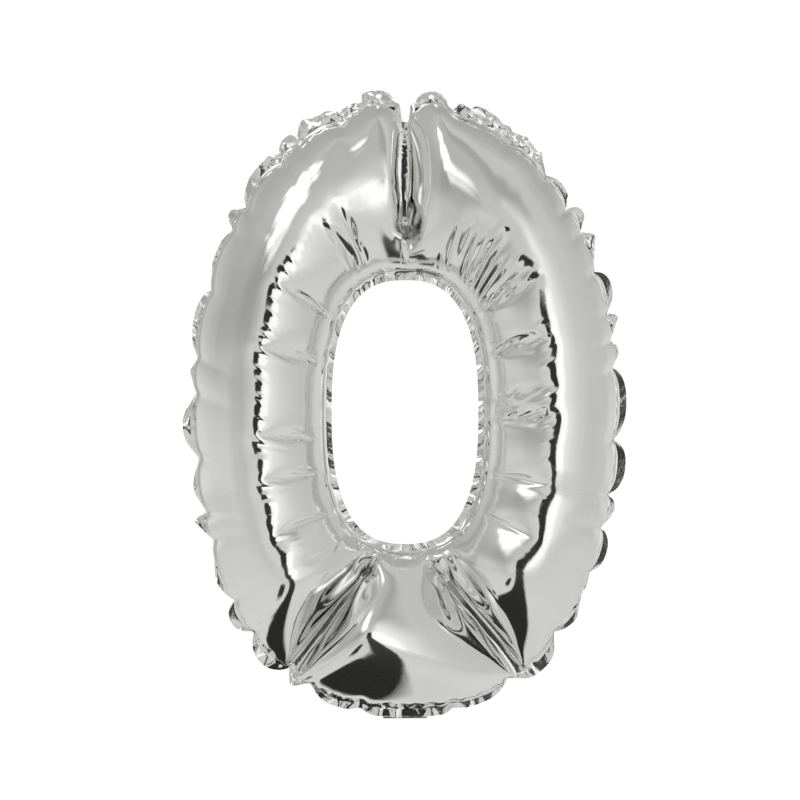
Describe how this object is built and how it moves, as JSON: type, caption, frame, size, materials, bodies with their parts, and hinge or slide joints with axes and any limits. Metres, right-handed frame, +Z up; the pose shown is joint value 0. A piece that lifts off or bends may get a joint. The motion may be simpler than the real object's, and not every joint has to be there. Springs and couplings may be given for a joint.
{
  "type": "foil number balloon",
  "caption": "Inflated silver foil number zero balloon with a notched top, darted base, hanging tabs and a folding filling tail.",
  "frame": {"origin": "midway between the centres of the two hanging holes at the top of the lobes", "axes": "+Z up, -Y out of the balloon's front face, +X to the right seen from the front"},
  "size_m": [0.2438, 0.0782, 0.3468],
  "materials": {
    "front_foil": "mirror-bright metallised film",
    "back_foil": "mirror-bright metallised film",
    "tab_foil": "bright flat metallised film",
    "tail_foil": "bright flat metallised film",
    "heat_seal": "satin fused sealant layer",
    "valve_film": "clear soft film"
  },
  "bodies": {
    "balloon": {"front_foil_sheet": "front_foil", "back_foil_sheet": "back_foil", "outer_seal_band": "heat_seal", "hole_seal_band": "heat_seal", "top_cross_seal": "heat_seal", "left_dart_seal": "heat_seal", "right_dart_seal": "heat_seal", "left_hanging_tab": "tab_foil", "right_hanging_tab": "tab_foil"},
    "tail": {"tail_front_ply": "tail_foil", "tail_back_ply": "tail_foil", "tail_left_seal": "heat_seal", "tail_right_seal": "heat_seal"},
    "valve_front": {"valve_front_film": "valve_film"},
    "valve_back": {"valve_back_film": "valve_film"}
  },
  "joints": [
    {"name": "tail_fold", "type": "hinge", "parent": "balloon", "child": "tail", "pos_m": [0, 0, -0.3429], "axis": [-1, 0, 0], "range_deg": [0, 115]},
    {"name": "valve_front_open", "type": "hinge", "parent": "balloon", "child": "valve_front", "pos_m": [0, -0.00035, -0.3351], "axis": [1, 0, 0], "range_deg": [0, 8]},
    {"name": "valve_back_open", "type": "hinge", "parent": "balloon", "child": "valve_back", "pos_m": [0, 0.00035, -0.3351], "axis": [-1, 0, 0], "range_deg": [0, 8]}
  ]
}
